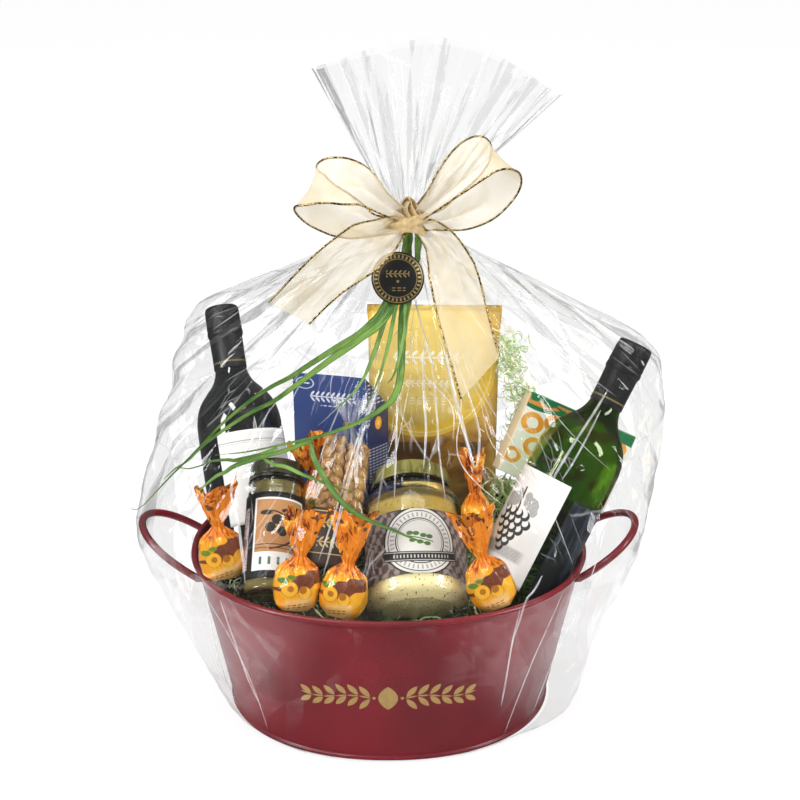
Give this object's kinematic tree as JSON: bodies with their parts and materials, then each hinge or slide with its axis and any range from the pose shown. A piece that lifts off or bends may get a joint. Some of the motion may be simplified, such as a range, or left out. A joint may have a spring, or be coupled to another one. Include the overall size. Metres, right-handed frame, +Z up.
{
  "type": "gift basket",
  "caption": "Oval tin tub with wire handles, packed with wine, jars, snacks and wrapped sweets, in a clear film bag tied at the neck with a ribbon bow, tag and grass leaves.",
  "frame": {"origin": "middle of the flat underside, where the film passes under the tub", "axes": "+Z up, +X along the tub's length to the right, -Y to the front with the tag"},
  "size_m": [0.4475, 0.3007, 0.575],
  "materials": {
    "tin": "gloss burgundy paint",
    "black_glass": "black bottle glass",
    "green_glass": "green bottle glass",
    "clear_glass": "clear jar glass",
    "wine": "pale wine",
    "sauce": "olive green sauce with chopped bits",
    "cream": "grainy mustard cream",
    "foil": "matt black foil",
    "lid": "black pressed lid",
    "gold_bag": "printed golden film",
    "blue_box": "printed blue board",
    "cracker_bag": "clear bag of golden brown crackers",
    "carton": "printed cream and green board",
    "sweet_foil": "printed orange foil",
    "film": "clear crinkled film",
    "ribbon": "sheer ivory ribbon with gold edges",
    "tag": "black card with a gold ring",
    "leaf": "fresh grass leaf",
    "shred": "pale green shredded paper"
  },
  "bodies": {
    "root": {"tub": "tin", "handle_left": "tin", "handle_right": "tin", "bottle_red_wine": "black_glass", "capsule_red_wine": "foil", "bottle_white_wine": "green_glass", "capsule_white_wine": "foil", "wine_white": "wine", "jar_sauce": "clear_glass", "sauce": "sauce", "lid_sauce": "lid", "jar_cream": "clear_glass", "cream": "cream", "lid_cream": "lid", "pack_gold": "gold_bag", "pack_blue": "blue_box", "pack_crackers": "cracker_bag", "carton_green": "carton", "sweet_1": "sweet_foil", "sweet_2": "sweet_foil", "sweet_3": "sweet_foil", "sweet_4": "sweet_foil", "sweet_5": "sweet_foil", "sweet_6": "sweet_foil", "film": "film", "bow_loop_left": "ribbon", "bow_loop_right": "ribbon", "bow_knot": "ribbon", "bow_tail_left": "ribbon", "bow_tail_right": "ribbon", "tag": "tag", "leaf_1": "leaf", "leaf_2": "leaf", "leaf_3": "leaf", "leaf_4": "leaf", "leaf_5": "leaf", "leaf_6": "leaf", "leaf_7": "leaf", "paper_shred": "shred"}
  },
  "joints": []
}
